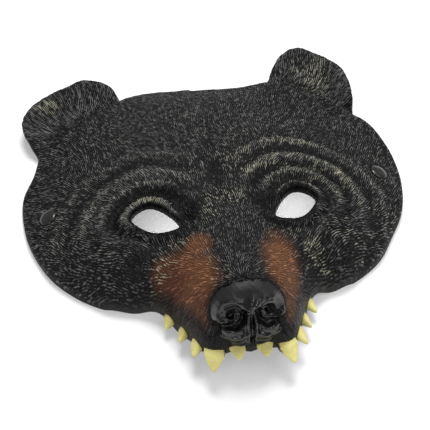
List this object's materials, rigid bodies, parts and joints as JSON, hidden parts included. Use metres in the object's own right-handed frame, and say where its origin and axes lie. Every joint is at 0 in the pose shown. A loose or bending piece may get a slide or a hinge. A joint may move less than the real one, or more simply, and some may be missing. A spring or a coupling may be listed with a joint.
{
  "type": "bear half mask",
  "caption": "Moulded foam bear half mask with cupped ears, eye openings, a glossy nose, upper teeth and side rivets, lying face up.",
  "frame": {"origin": "middle of the mask's bounding box at the level it lies on", "axes": "+Z out of the face, up as it lies; +Y towards the ears, so the nose points along -Y; +X towards the viewer's right when looking at the mask's front"},
  "size_m": [0.2214, 0.228, 0.0545],
  "materials": {
    "foam_skin": "satin, dry-brushed",
    "nose_gloss": "glossy",
    "tooth_paint": "satin",
    "rivet_cap": "glossy"
  },
  "bodies": {
    "root": {"mask_shell": "foam_skin", "nose": "nose_gloss", "tooth_incisor_right": "tooth_paint", "tooth_canine_right": "tooth_paint", "tooth_fang_front_right": "tooth_paint", "tooth_fang_middle_right": "tooth_paint", "tooth_fang_back_right": "tooth_paint", "rivet_right": "rivet_cap", "tooth_incisor_left": "tooth_paint", "tooth_canine_left": "tooth_paint", "tooth_fang_front_left": "tooth_paint", "tooth_fang_middle_left": "tooth_paint", "tooth_fang_back_left": "tooth_paint", "rivet_left": "rivet_cap"}
  },
  "joints": []
}
